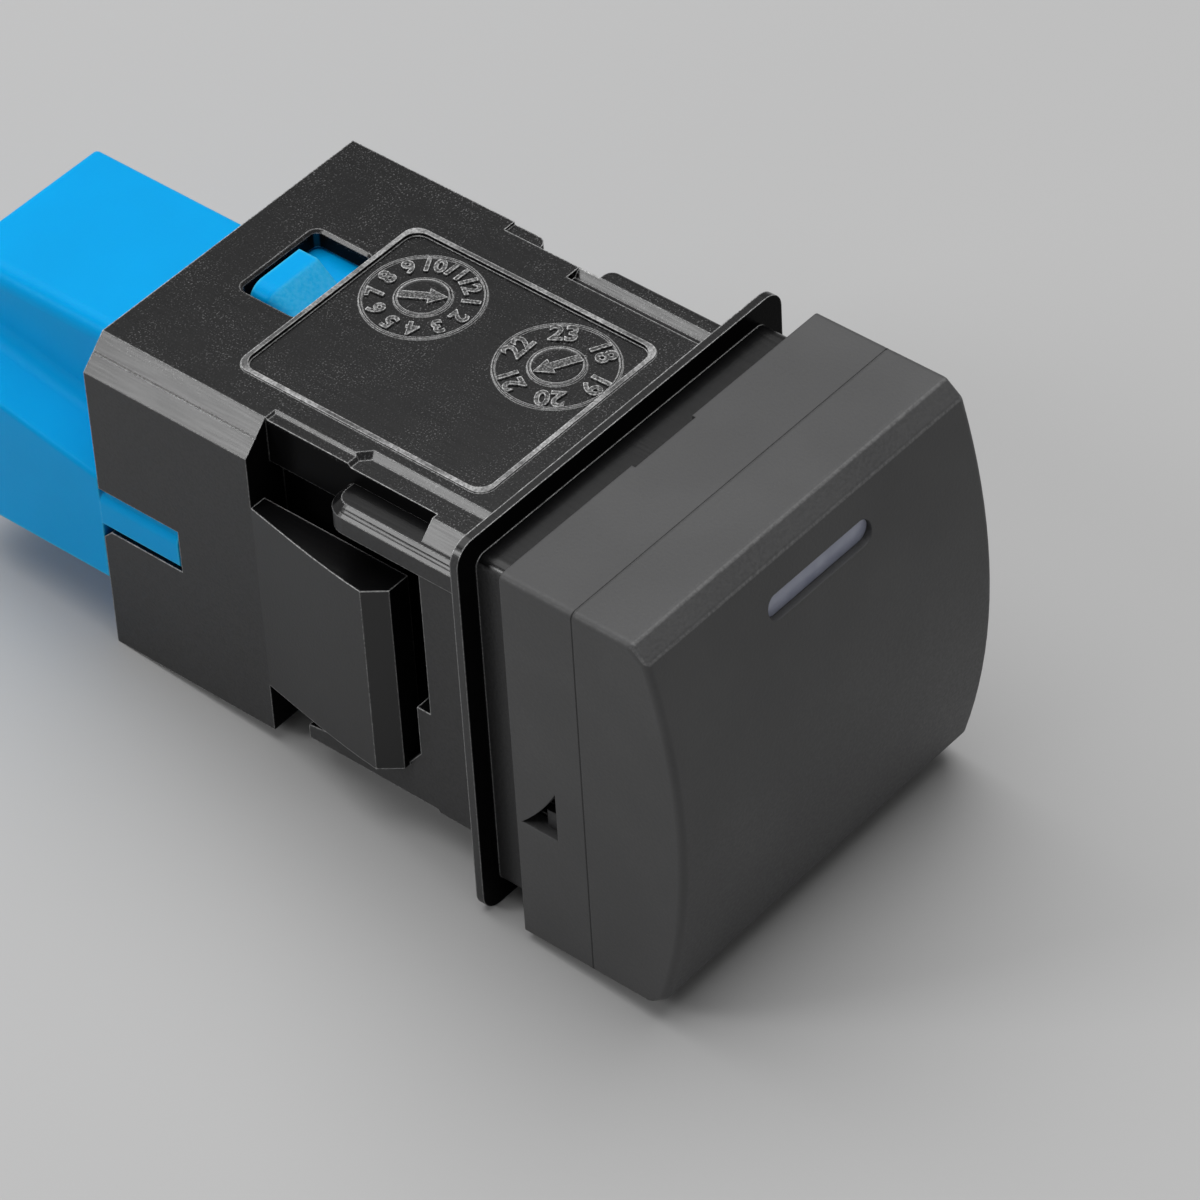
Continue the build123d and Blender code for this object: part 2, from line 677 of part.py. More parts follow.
def shroud_outline(ledge):
    """Rear view of the socket's outer wall, with its left wing edge at a given height."""
    Polyline((-wing_left, -shroud_bottom), (wing_right, -shroud_bottom), (wing_right, -step_right),
             (shroud_right, step_rise - step_right), (shroud_right, shroud_top),
             (-shroud_left, shroud_top), (-shroud_left, ledge + wing_rise), (-wing_left, ledge),
             close=True)


with BuildPart() as connector_base:
    with BuildSketch(front_view(shroud_front)):
        with BuildLine():
            shroud_outline(ledge_front)
        make_face()
    with BuildSketch(front_view(socket_mouth)):
        with BuildLine():
            shroud_outline(ledge_rear)
        make_face()
    loft(ruled=True)
    halfway = (shroud_front + socket_mouth) / 2
    ledge_middle = (ledge_front + ledge_rear) / 2
    fillet(edges().sort_by_distance((-shroud_left, halfway, shroud_top))[0], shroud_round)
    fillet(edges().sort_by_distance((shroud_right, halfway, shroud_top))[0], mouth_round)
    fillet(edges().sort_by_distance((-shroud_left, halfway, ledge_middle + wing_rise))[0], wing_cove)
    fillet(edges().sort_by_distance((-wing_left, halfway, ledge_middle))[0], wing_round)
    fillet(faces().sort_by(Axis.Y)[-1].edges(), mouth_round)
    # Plug section inside the holder
    with BuildSketch(front_view(shroud_front)):
        with BuildLine():
            bevelled_outline(plug_half, plug_floor, plug_roof, body_bevel - side_wall / 2)
        make_face()
    extrude(amount=shroud_front - plug_front)
    # Side keys that run in the holder's slots
    with BuildSketch(front_view(shroud_front)):
        key_middle = (key_top - key_bottom) / 2
        with Locations((0, key_middle)):
            Rectangle(2 * body_half, key_top + key_bottom - 2 * key_play)
        fillet(vertices().group_by(Axis.Y)[-1], key_round)
        chamfer(vertices().group_by(Axis.Y)[0], key_low_edge)
    extrude(amount=shroud_front - (body_length - key_length + key_play))
    # Latch hooks above and below
    with BuildSketch(Plane.YZ.offset(-hook_left)):
        hook_rear = window_rear - 2 * slide_gap
        for root_z, way in ((plug_roof, 1), (plug_floor, -1)):
            with BuildLine():
                Polyline((hook_rear, root_z), (hook_rear, root_z + way * hook_height),
                         (hook_rear - hook_flat, root_z + way * hook_height),
                         (hook_rear - hook_flat - hook_ramp, root_z), close=True)
            make_face()
        fillet(vertices().group_by(Axis.X)[1], hook_edge)
    extrude(amount=hook_left + hook_right)
    hook_middle = window_rear - 2 * slide_gap - hook_flat / 2
    fillet(edges().sort_by_distance((-hook_left, hook_middle, plug_roof + hook_height))[0], hook_round)
    # Front box: spring seat in front, floor and two side walls
    span_box((-board_half, board_half), (base_front, plug_front), (stem_bottom, box_top))
    span_box((box_wall - board_half, board_half - box_wall), (base_front + seat_wall, plug_front),
             (stem_bottom + box_floor, box_top), mode=Mode.SUBTRACT)
    with BuildSketch(front_view(base_front)):
        with Locations((0, spring_axis)):
            Circle(boss_radius)
    extrude(amount=boss_length)
    # Feet that clamp the leaf spring to the holder's floor
    foot_middle = (leaf_foot_width - leaf_clip_width) / 2
    with BuildSketch(Plane.XY.offset(stem_bottom)):
        with Locations((-foot_middle, plug_front), (foot_middle, plug_front)):
            Rectangle(leaf_clip_width, plug_front - pin_pivot - pin_wire, align=(Align.CENTER, Align.MAX))
    extrude(amount=cavity_floor + leaf_thickness - stem_bottom)
    with BuildSketch(Plane.XY.offset(stem_bottom)):
        with Locations((0, pin_pivot)):
            Circle(pin_wire / 2 + contact_gap)
    extrude(amount=box_floor, mode=Mode.SUBTRACT)
    # Socket: narrow upper part, wide lower part
    span_box((shroud_wall - shroud_left, shroud_right - shroud_wall), (socket_floor, socket_mouth),
             (socket_bottom, socket_roof), mode=Mode.SUBTRACT)
    span_box((-low_socket_side, low_socket_side), (socket_floor, socket_mouth),
             (socket_bottom, -step_right - shroud_wall), mode=Mode.SUBTRACT)
    # Slits for the terminals
    for column in low_columns:
        span_box((column - blade_width / 2 - contact_gap, column + blade_width / 2 + contact_gap),
                 (plug_front, socket_floor),
                 (low_row - blade_thickness / 2 - contact_gap, low_row + blade_thickness / 2 + contact_gap),
                 mode=Mode.SUBTRACT)
    for column in high_columns:
        span_box((column - blade_width / 2 - contact_gap, column + blade_width / 2 + contact_gap),
                 (plug_front, socket_floor),
                 (high_row - blade_thickness / 2 - contact_gap, high_row + blade_thickness / 2 + contact_gap),
                 mode=Mode.SUBTRACT)
connector_base.part.label = "connector_base"
export_step(connector_base.part, "parts/connector_base.step")

# Circuit board with slots for the terminal legs and thin tracks for the wipers underneath.
with BuildPart() as circuit_board:
    span_box((-board_half, board_half), (board_front, board_rear), (board_bottom, board_top))
    with BuildSketch(Plane.XY.offset(board_bottom)):
        with Locations(*[(column, low_leg) for column in low_columns],
                       *[(column, high_leg) for column in high_columns]):
            Rectangle(blade_width + 2 * contact_gap, blade_thickness + 2 * contact_gap)
    extrude(amount=board_thickness, mode=Mode.SUBTRACT)
    for wiper_x in (-wiper_spacing / 2, wiper_spacing / 2):
        with BuildSketch(Plane.XY.offset(board_bottom)):
            for pad_y in (wiper_at - wiper_length / 2 + 0.5, wiper_at + wiper_length / 2 + 0.5):
                with Locations((wiper_x, pad_y)):
                    Rectangle(wiper_width + 0.4, wiper_length / 2)
        extrude(amount=-pad_thickness)
circuit_board.part.label = "circuit_board"
export_step(circuit_board.part, "parts/circuit_board.step")

# Two lamps at the board's front edge, their leads soldered on top of it.
for lamp_name, lamp_x in (("lamp_left", -led_spacing / 2), ("lamp_right", led_spacing / 2)):
    led_rear = led_front + led_length
    with BuildPart() as lamp:
        with BuildSketch(Plane.YZ.offset(lamp_x)) as lamp_profile:
            with BuildLine():
                dome = CenterArc((led_front + led_radius, led_axis), led_radius, 90, 90)
                Polyline(dome @ 0, (led_rear, led_axis + led_radius), (led_rear, led_axis), dome @ 1)
            make_face()
        revolve(axis=Axis((lamp_x, 0, led_axis), (0, 1, 0)))
        for lead_x in (lamp_x - lead_spacing / 2, lamp_x + lead_spacing / 2):
            span_box((lead_x - lead_thickness / 2, lead_x + lead_thickness / 2),
                     (led_rear, led_rear + lead_length), (board_top, board_top + lead_thickness))
    lamp.part.label = lamp_name
    export_step(lamp.part, "parts/" + lamp_name + ".step")

# Two series resistors on the board.
for chip_name, chip_x in (("resistor_left", -led_spacing), ("resistor_right", led_spacing)):
    with BuildPart() as chip:
        span_box((chip_x - chip_width / 2, chip_x + chip_width / 2),
                 (chip_at - chip_length / 2, chip_at + chip_length / 2),
                 (board_top, board_top + chip_height))
        chamfer(chip.edges().filter_by(Axis.Y).group_by(Axis.Z)[-1], 0.1)
    chip.part.label = chip_name
    export_step(chip.part, "parts/" + chip_name + ".step")

# Five terminals: a blade in the socket, a leg up through the board.
terminal_places = [(column, low_row, low_leg) for column in low_columns]
terminal_places += [(column, high_row, high_leg) for column in high_columns]
for number, (column, row, leg) in enumerate(terminal_places, start=1):
    with BuildPart() as terminal:
        leg_front = leg - blade_thickness / 2
        span_box((column - blade_width / 2, column + blade_width / 2), (leg_front, blade_tip),
                 (row - blade_thickness / 2, row + blade_thickness / 2))
        chamfer(terminal.faces().sort_by(Axis.Y)[-1].edges(), blade_thickness / 2 - 0.1, blade_taper)
        span_box((column - blade_width / 2, column + blade_width / 2), (leg_front, leg_front + blade_thickness),
                 (row, board_top + leg_proud))
    terminal.part.label = f"terminal_{number}"
    export_step(terminal.part, f"parts/terminal_{number}.step")

# Return spring between the stem's bore and the base.
with BuildPart() as return_spring:
    coil_start = spring_seat + spring_wire / 2 + contact_gap
    coil_length = base_front - contact_gap - spring_wire / 2 - coil_start
    with BuildLine() as coil:
        Helix(coil_length / spring_coils, coil_length, spring_radius, center=(0, coil_start, spring_axis),
              direction=(0, 1, 0))
    with BuildSketch(Plane(origin=coil.line @ 0, z_dir=coil.line % 0)):
        Circle(spring_wire / 2)
    sweep(is_frenet=True)
return_spring.part.label = "return_spring"
export_step(return_spring.part, "parts/return_spring.step")

# Wipers: bowed strips that bridge the tracks, each on a small spring.
wiper_high = board_bottom - pad_thickness - contact_gap - wiper_sheet / 2
wiper_low = wiper_floor + wiper_sheet
for side_name, wiper_x in (("left", -wiper_spacing / 2), ("right", wiper_spacing / 2)):
    with BuildPart() as wiper:
        with BuildSketch(Plane.YZ.offset(wiper_x - wiper_width / 2)):
            with BuildLine():
                half = (wiper_length - wiper_sheet) / 2
                Polyline((wiper_at - half, wiper_high - 0.2), (wiper_at - 0.8 * half, wiper_high),
                         (wiper_at - 0.6 * half, wiper_high), (wiper_at - 0.35 * half, wiper_low),
                         (wiper_at + 0.35 * half, wiper_low), (wiper_at + 0.6 * half, wiper_high),
                         (wiper_at + 0.8 * half, wiper_high), (wiper_at + half, wiper_high - 0.2))
            trace(line_width=wiper_sheet)
        extrude(amount=wiper_width)
    wiper.part.label = "wiper_" + side_name
    export_step(wiper.part, "parts/wiper_" + side_name + ".step")
    with BuildPart() as wiper_spring:
        small_start = wiper_floor - wiper_pocket_depth + wiper_spring_wire / 2
        small_length = wiper_low - wiper_sheet / 2 - wiper_spring_wire / 2 - contact_gap / 2 - small_start
        with BuildLine() as small_coil:
            Helix(small_length / wiper_spring_coils, small_length, wiper_spring_radius,
                  center=(wiper_x, wiper_at, small_start))
        with BuildSketch(Plane(origin=small_coil.line @ 0, z_dir=small_coil.line % 0)):
            Circle(wiper_spring_wire / 2)
        sweep(is_frenet=True)
    wiper_spring.part.label = "wiper_spring_" + side_name
    export_step(wiper_spring.part, "parts/wiper_spring_" + side_name + ".step")

# Latch wire: pivot leg in the base, run under the slider, tip up into the cam.
with BuildPart() as latch_pin:
    with BuildLine() as wire:
        FilletPolyline((0, pin_pivot, stem_bottom + box_floor - slide_gap), (0, pin_pivot, pin_axis),
                       (-lane_offset, tip_in_lane, pin_axis),
                       (-lane_offset, tip_in_lane, stem_bottom + cam_depth - slide_gap), radius=pin_bend)
    with BuildSketch(Plane(origin=wire.line @ 0, z_dir=wire.line % 0)):
        Circle(pin_wire / 2)
    sweep()
latch_pin.part.label = "latch_pin"
export_step(latch_pin.part, "parts/latch_pin.step")

# Leaf spring on the holder's floor that keeps the wire's tip in the cam.
with BuildPart() as latch_leaf:
    with BuildSketch(Plane.XY.offset(cavity_floor)):
        with Locations((0, tip_in_middle - pin_wire)):
            Rectangle(leaf_width, plug_front - tip_in_middle + pin_wire, align=(Align.CENTER, Align.MIN))
        with Locations((0, plug_front)):
            Rectangle(leaf_foot_width, plug_front - pin_pivot, align=(Align.CENTER, Align.MAX))
    extrude(amount=leaf_thickness)
latch_leaf.part.label = "latch_leaf"
export_step(latch_leaf.part, "parts/latch_leaf.step")
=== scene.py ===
# %% [markdown]
# # Latching push switch with a lit bar
# The CAD model brings the true shape and size of every piece. This script gives each
# piece the surface that the real moulding or metal has, adds the raised figures and
# arrows of the dials and two bevelled pieces of the holder, and sets up a plain studio
# with a camera where the photographer stood.
# All lengths are in metres: X to the right seen from the front, Y into the panel, Z up.

# %% Start: load the frame
import math

import bpy
from mathutils import Matrix, Vector


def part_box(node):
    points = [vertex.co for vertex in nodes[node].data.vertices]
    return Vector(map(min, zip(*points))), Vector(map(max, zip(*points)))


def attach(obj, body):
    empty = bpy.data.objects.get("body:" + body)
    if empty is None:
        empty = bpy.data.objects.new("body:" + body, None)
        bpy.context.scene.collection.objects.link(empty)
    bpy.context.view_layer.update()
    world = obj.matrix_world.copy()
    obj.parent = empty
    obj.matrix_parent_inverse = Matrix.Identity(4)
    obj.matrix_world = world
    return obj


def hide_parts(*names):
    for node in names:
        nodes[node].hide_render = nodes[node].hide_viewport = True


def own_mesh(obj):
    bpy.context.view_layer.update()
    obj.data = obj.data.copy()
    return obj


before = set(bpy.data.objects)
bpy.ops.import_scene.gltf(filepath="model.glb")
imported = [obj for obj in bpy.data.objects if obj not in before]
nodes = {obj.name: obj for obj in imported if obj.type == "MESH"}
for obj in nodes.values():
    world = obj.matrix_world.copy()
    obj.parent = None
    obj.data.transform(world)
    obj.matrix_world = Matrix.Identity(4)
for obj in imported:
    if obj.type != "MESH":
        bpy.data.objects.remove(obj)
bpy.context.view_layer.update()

MM = 0.001


# %% [markdown]
# ## Clean start
# An operator acts on everything that is selected, so the selection is emptied first.
# The view transform is Standard, which shows a colour about as it is written.

# %% Clear the selection, set the view
def deselect_all():
    """Goes back to object mode with nothing selected."""
    if bpy.context.object and bpy.context.object.mode != "OBJECT":
        bpy.ops.object.mode_set(mode="OBJECT")
    bpy.ops.object.select_all(action="DESELECT")


def select_only(*pieces):
    """Selects these pieces and nothing else. The first one is active."""
    deselect_all()
    for piece in pieces:
        piece.select_set(True)
    bpy.context.view_layer.objects.active = pieces[0]


deselect_all()
bpy.context.scene.view_settings.view_transform = "Standard"
print("nodes:", len(nodes))

# %% [markdown]
# ## How the plastics are made
# A moulding is never one flat colour: the tool's surface leaves a fine grain, polished
# faces shine more than eroded ones, and handling leaves faint clouds. Each plastic here
# is a Principled shader. One noise drives the grain, a second, larger one varies the
# gloss and the colour a little. A Bevel node softens the edges that the tool's own
# radius softens on the real part, with no extra faces in the mesh. The helpers below
# each add one kind of node, so that a material reads as a short list of steps.

# %% Node helpers
def new_material(name):
    """An empty node material with its shader and object coordinates."""
    material = bpy.data.materials.new(name)
    material.use_nodes = True
    tree = material.node_tree
    shader = tree.nodes["Principled BSDF"]
    coords = tree.nodes.new("ShaderNodeTexCoord")
    return material, tree, shader, coords.outputs["Object"]


def feed(tree, socket, value):
    """Links a node's output to the socket, or writes a plain value into it."""
    if isinstance(value, bpy.types.NodeSocket):
        tree.links.new(value, socket)
    else:
        socket.default_value = value


def parts_of(tree, vector):
    """The X, Y and Z outputs of a vector."""
    split = tree.nodes.new("ShaderNodeSeparateXYZ")
    tree.links.new(vector, split.inputs["Vector"])
    return split.outputs


def facing_of(tree):
    """How far each face looks along X, Y and Z, from -1 to 1."""
    surface = tree.nodes.new("ShaderNodeTexCoord")
    return parts_of(tree, surface.outputs["Normal"])


def noise(tree, vector, cell, detail=2.0):
    """A noise whose cells are about `cell` metres across."""
    node = tree.nodes.new("ShaderNodeTexNoise")
    node.inputs["Scale"].default_value = 1.0 / cell
    node.inputs["Detail"].default_value = detail
    tree.links.new(vector, node.inputs["Vector"])
    return node.outputs["Fac"]


def spread(tree, value, low, high, start=0.35, end=0.65):
    """Maps a value between start and end onto low to high, and holds it inside."""
    node = tree.nodes.new("ShaderNodeMapRange")
    tree.links.new(value, node.inputs["Value"])
    node.inputs["From Min"].default_value = start
    node.inputs["From Max"].default_value = end
    node.inputs["To Min"].default_value = low
    node.inputs["To Max"].default_value = high
    return node.outputs["Result"]


def blend(tree, kind, factor, first, second):
    """The first input where the factor is 0, the second where it is 1."""
    node = tree.nodes.new("ShaderNodeMix")
    node.data_type = kind
    for name, value in (("Factor", factor), ("A", first), ("B", second)):
        feed(tree, node.inputs[name], value)
    return node.outputs["Result"]


def tint(tree, factor, dark, light):
    """A colour between two plain colours."""
    return blend(tree, "RGBA", factor, (*dark, 1.0), (*light, 1.0))


def compute(tree, operation, *values):
    """A Math node on outputs or plain numbers."""
    node = tree.nodes.new("ShaderNodeMath")
    node.operation = operation
    for socket, value in zip(node.inputs, values):
        feed(tree, socket, value)
    return node.outputs["Value"]


def product(tree, *values):
    """All the values multiplied together."""
    result = values[0]
    for value in values[1:]:
        result = compute(tree, "MULTIPLY", result, value)
    return result


def relief(tree, shader, height, depth, edge):
    """Bump from a height value, over edges rounded by `edge` metres."""
    soft = tree.nodes.new("ShaderNodeBevel")
    soft.samples = 6
    soft.inputs["Radius"].default_value = edge
    bump = tree.nodes.new("ShaderNodeBump")
    bump.inputs["Strength"].default_value = 1.0
    bump.inputs["Distance"].default_value = depth
    tree.links.new(height, bump.inputs["Height"])
    tree.links.new(soft.outputs["Normal"], bump.inputs["Normal"])
    tree.links.new(bump.outputs["Normal"], shader.inputs["Normal"])


def edge_lines(tree, width, full=0.82, none=0.97):
    """1 on rounded edges about `width` metres wide, 0 on the faces between them."""
    soft = tree.nodes.new("ShaderNodeBevel")
    soft.samples = 6
    soft.inputs["Radius"].default_value = width
    surface = tree.nodes.new("ShaderNodeNewGeometry")
    match = tree.nodes.new("ShaderNodeVectorMath")
    match.operation = "DOT_PRODUCT"
    tree.links.new(soft.outputs["Normal"], match.inputs[0])
    tree.links.new(surface.outputs["Normal"], match.inputs[1])
    return spread(tree, match.outputs["Value"], 1.0, 0.0, full, none)


def stretched(tree, place, scale):
    """Coordinates scaled along each axis. A small scale draws a noise out into streaks."""
    turn = tree.nodes.new("ShaderNodeMapping")
    turn.inputs["Scale"].default_value = scale
    tree.links.new(place, turn.inputs["Vector"])
    return turn.outputs["Vector"]


print("helpers ready")

# %% [markdown]
# ## Button cap: matt soft-touch face
# The cap is the part that the hand meets. Its tool is spark-eroded, so the surface has a
# grain of less than a fifth of a millimetre and only a soft shine. A noise bump gives the
# grain, and the roughness stays high. The two edges of the upper bevel get a painted
# highlight in a paler grey where they face forward. Those edges are rounded, so each has
# faces that look up by a share that no flat face has: two bands of that share find them.

# %% Cap material
# Upward share of a face on the upper bevel's two edges: 1 is level, 0 is upright
UPPER_EDGE_RISE = (0.81, 0.87)
UPPER_EDGE_FALL = (0.94, 0.985)
LOWER_EDGE_RISE = (0.38, 0.48)
LOWER_EDGE_FALL = (0.60, 0.72)


def share_band(tree, share, rise, fall):
    """1 where the share lies between the two ramps, 0 outside them."""
    return product(tree, spread(tree, share, 0.0, 1.0, *rise), spread(tree, share, 1.0, 0.0, *fall))


def cap_plastic():
    """Matt grey with a fine grain and a painted highlight on the upper bevel's edges."""
    material, tree, shader, place = new_material("cap_matt_grey")
    cloud = noise(tree, place, 6.0 * MM)
    grain = noise(tree, place, 0.16 * MM, 3.0)
    mottle = blend(tree, "FLOAT", spread(tree, cloud, 0.35, 0.55), spread(tree, grain, 0.0, 1.0),
                   spread(tree, cloud, 0.0, 1.0))
    plain = tint(tree, mottle, (0.047, 0.047, 0.048), (0.067, 0.067, 0.068))
    # Painted highlight: a paler grey for the upper bevel's two rounded edges, where they face forward
    highlight_grey = tint(tree, spread(tree, grain, 0.0, 1.0), (0.085, 0.085, 0.086), (0.145, 0.145, 0.146))
    facing = facing_of(tree)
    upper_edge = share_band(tree, facing["Z"], UPPER_EDGE_RISE, UPPER_EDGE_FALL)
    lower_edge = share_band(tree, facing["Z"], LOWER_EDGE_RISE, LOWER_EDGE_FALL)
    forward = spread(tree, facing["Y"], 1.0, 0.0, -0.30, -0.15)
    highlight_where = product(tree, compute(tree, "MAXIMUM", upper_edge, lower_edge), forward)
    tree.links.new(blend(tree, "RGBA", highlight_where, plain, highlight_grey), shader.inputs["Base Color"])
    tree.links.new(spread(tree, grain, 0.44, 0.60), shader.inputs["Roughness"])
    shader.inputs["Specular IOR Level"].default_value = 0.5
    relief(tree, shader, grain, depth=0.012 * MM, edge=0.10 * MM)
    return material


cap_matt = cap_plastic()
print(cap_matt.name)

# %% [markdown]
# ## Holder: black acetal, matt sides and polished cut-outs
# The outer side walls and the clips carry a fine eroded grain. The top and the faces
# inside the cut-outs are milled and polished, so they look almost black until they catch
# a lamp, and the mill leaves fine streaks along the holder. A mask from the distance to
# the middle plane and from the direction of the face tells the two apart. The edges get
# a painted highlight, up to white: the Bevel node finds them, because its normal turns
# away from the face's own normal there. The rim round the label field gets a painted
# highlight too, and the flat top round it has fine bright specks.

# %% Holder material
SIDE_REACH = 8.7 * MM
TOP_FACE = 8.85 * MM
RIM_FACE = 9.26 * MM
RIM_FRONT = 1.0 * MM


def holder_plastic():
    """Black acetal: matt outer walls, polished faces with streaks, and painted highlights on the edges.
    """
    material, tree, shader, place = new_material("holder_black_acetal")
    axes = parts_of(tree, place)
    facing = facing_of(tree)
    reach = compute(tree, "ABSOLUTE", axes["X"])
    sideways = compute(tree, "ABSOLUTE", facing["X"])
    far_out = compute(tree, "GREATER_THAN", reach, SIDE_REACH)
    side = product(tree, far_out, spread(tree, sideways, 0.0, 1.0, 0.80, 0.90))
    grain = noise(tree, place, 0.12 * MM, 3.0)
    streak = noise(tree, stretched(tree, place, (1.0, 0.04, 1.0)), 0.10 * MM, 2.0)
    speck = noise(tree, place, 0.09 * MM, 1.0)
    patch = spread(tree, noise(tree, place, 2.6 * MM), 0.0, 1.0, 0.40, 0.60)
    edge = edge_lines(tree, 0.13 * MM)
    on_top = compute(tree, "GREATER_THAN", axes["Z"], TOP_FACE)
    behind_flange = compute(tree, "GREATER_THAN", axes["Y"], 0.0)
    dots = product(tree, spread(tree, speck, 0.0, 1.0, 0.60, 0.72),
                   spread(tree, patch, 0.25, 1.0, 0.0, 1.0), on_top, behind_flange)
    polished = tint(tree, dots, (0.004, 0.004, 0.0043), (0.120, 0.120, 0.121))
    matt = tint(tree, spread(tree, grain, 0.0, 1.0), (0.012, 0.012, 0.0125), (0.036, 0.036, 0.037))
    # Painted highlight colour, up to white, for the edges and the rim round the label field
    highlight_white = tint(tree, spread(tree, grain, 0.0, 1.0), (0.38, 0.38, 0.38), (1.0, 1.0, 1.0))
    colour = blend(tree, "RGBA", side, polished, matt)
    roughness = blend(tree, "FLOAT", side, spread(tree, streak, 0.225, 0.265),
                      spread(tree, grain, 0.42, 0.55))
    tree.links.new(roughness, shader.inputs["Roughness"])
    # Painted shade: walls deep inside the cut-outs, and faces turned to the front, mirror very little and
    # get dimmer painted edge highlights
    frontward = spread(tree, compute(tree, "MULTIPLY", facing["Y"], -1.0), 0.0, 1.0, 0.85, 0.95)
    inward = product(tree, spread(tree, sideways, 0.0, 1.0, 0.85, 0.95),
                     compute(tree, "SUBTRACT", 1.0, far_out))
    painted_shade_where = compute(tree, "MAXIMUM", frontward, inward)
    upward = spread(tree, facing["Z"], 0.5, 0.34, 0.85, 0.95)
    tree.links.new(product(tree, upward, spread(tree, painted_shade_where, 1.0, 0.04, 0.0, 1.0)),
                   shader.inputs["Specular IOR Level"])
    # Painted highlight on the edges, weaker on the matt walls and in the painted shade
    edge_highlight = product(tree, edge, spread(tree, side, 1.0, 0.45, 0.0, 1.0),
                        spread(tree, painted_shade_where, 1.0, 0.15, 0.0, 1.0))
    # Painted highlight on the rim round the label field
    rim = product(tree, compute(tree, "GREATER_THAN", axes["Z"], RIM_FACE),
                  compute(tree, "GREATER_THAN", axes["Y"], RIM_FRONT))
    rim_highlight = product(tree, rim, spread(tree, patch, 0.12, 0.50, 0.0, 1.0))
    painted_highlight_where = compute(tree, "MAXIMUM", edge_highlight, rim_highlight)
    tree.links.new(blend(tree, "RGBA", painted_highlight_where, colour, highlight_white), shader.inputs["Base Color"])
    height = blend(tree, "FLOAT", side, spread(tree, streak, 0.0, 0.12), grain)
    relief(tree, shader, height, depth=0.010 * MM, edge=0.09 * MM)
    return material


holder_black = holder_plastic()
print(holder_black.name)

# %% [markdown]
# ## Raised marks: the same acetal, with painted glints and highlights
# The figures and arrows were cut by hand into the mould, so their faces are rough and
# catch the light in flecks, with a bright line round each. A strong speckle and a wide
# edge mask paint both into the colour: painted glints on the faces, a painted highlight round them.

# %% Material of the raised marks
def mark_plastic():
    """The holder's plastic with painted glints on the faces and a painted highlight round them."""
    material, tree, shader, place = new_material("holder_raised_marks")
    fleck = noise(tree, place, 0.11 * MM, 3.0)
    on_face = spread(tree, fleck, 0.0, 1.0, 0.46, 0.60)
    on_rim = spread(tree, fleck, 0.0, 1.0, 0.38, 0.56)
    # Painted glints: bright flecks on the rough faces
    face = tint(tree, on_face, (0.006, 0.006, 0.006), (0.22, 0.22, 0.22))
    # Painted highlight: a bright line round each mark
    rim = tint(tree, on_rim, (0.20, 0.20, 0.20), (1.0, 1.0, 1.0))
    colour = blend(tree, "RGBA", edge_lines(tree, 0.12 * MM), face, rim)
    tree.links.new(colour, shader.inputs["Base Color"])
    tree.links.new(spread(tree, fleck, 0.30, 0.50), shader.inputs["Roughness"])
    relief(tree, shader, fleck, depth=0.015 * MM, edge=0.05 * MM)
    return material


mark_rough = mark_plastic()
print(mark_rough.name)

# %% [markdown]
# ## Connector base: blue nylon
# Plugs are often brightly coloured, so that they can be told apart. The surface is
# smooth with a soft shine, and a little light enters it, which lifts the shaded side: a
# small amount of subsurface scattering does that. The edges, and the front faces of the
# hooks' ramps, get a painted highlight in a paler blue from an edge mask and a facing mask.

# %% Base material
HOOK_FOOT = 7.6 * MM


def base_plastic():
    """Blue nylon with a painted highlight on the edges and ramps, and a little light inside it."""
    material, tree, shader, place = new_material("base_blue_nylon")
    cloud = noise(tree, place, 5.0 * MM)
    grain = noise(tree, place, 0.20 * MM, 2.0)
    body = tint(tree, spread(tree, cloud, 0.0, 1.0), (0.0, 0.37, 0.81), (0.0, 0.39, 0.85))
    # Painted highlight colour: a paler blue for the edges and the hooks' ramps
    highlight_blue = tint(tree, spread(tree, grain, 0.0, 1.0), (0.03, 0.53, 0.95), (0.08, 0.60, 1.0))
    # Painted light: the front faces of the hooks' ramps in the windows are painted paler, as if lit
    frontward = compute(tree, "MULTIPLY", facing_of(tree)["Y"], -1.0)
    ramp_painted_light = product(tree, compute(tree, "GREATER_THAN", parts_of(tree, place)["Z"], HOOK_FOOT),
                   spread(tree, frontward, 0.0, 0.75, 0.2, 0.6))
    # Painted highlight on the edges, together with the ramps' painted light
    painted_light_where = compute(tree, "MAXIMUM", ramp_painted_light, edge_lines(tree, 0.26 * MM, 0.86, 0.985))
    tree.links.new(blend(tree, "RGBA", painted_light_where, body, highlight_blue), shader.inputs["Base Color"])
    tree.links.new(spread(tree, grain, 0.30, 0.40), shader.inputs["Roughness"])
    shader.inputs["Specular IOR Level"].default_value = 0.14
    shader.inputs["Specular Tint"].default_value = (0.30, 0.75, 1.0, 1.0)
    shader.inputs["Subsurface Weight"].default_value = 0.25
    shader.inputs["Subsurface Scale"].default_value = 0.6 * MM
    shader.inputs["Subsurface Radius"].default_value = (0.3, 0.8, 1.0)
    relief(tree, shader, grain, depth=0.004 * MM, edge=0.16 * MM)
    return material


base_blue = base_plastic()
print(base_blue.name)

# %% [markdown]
# ## Light guide: clear grey resin
# Unlit, the bar in the face looks like a strip of bluish frosted glass. One piece of
# resin leads the light from the lamps, so a tinted colour with some transmission is used.

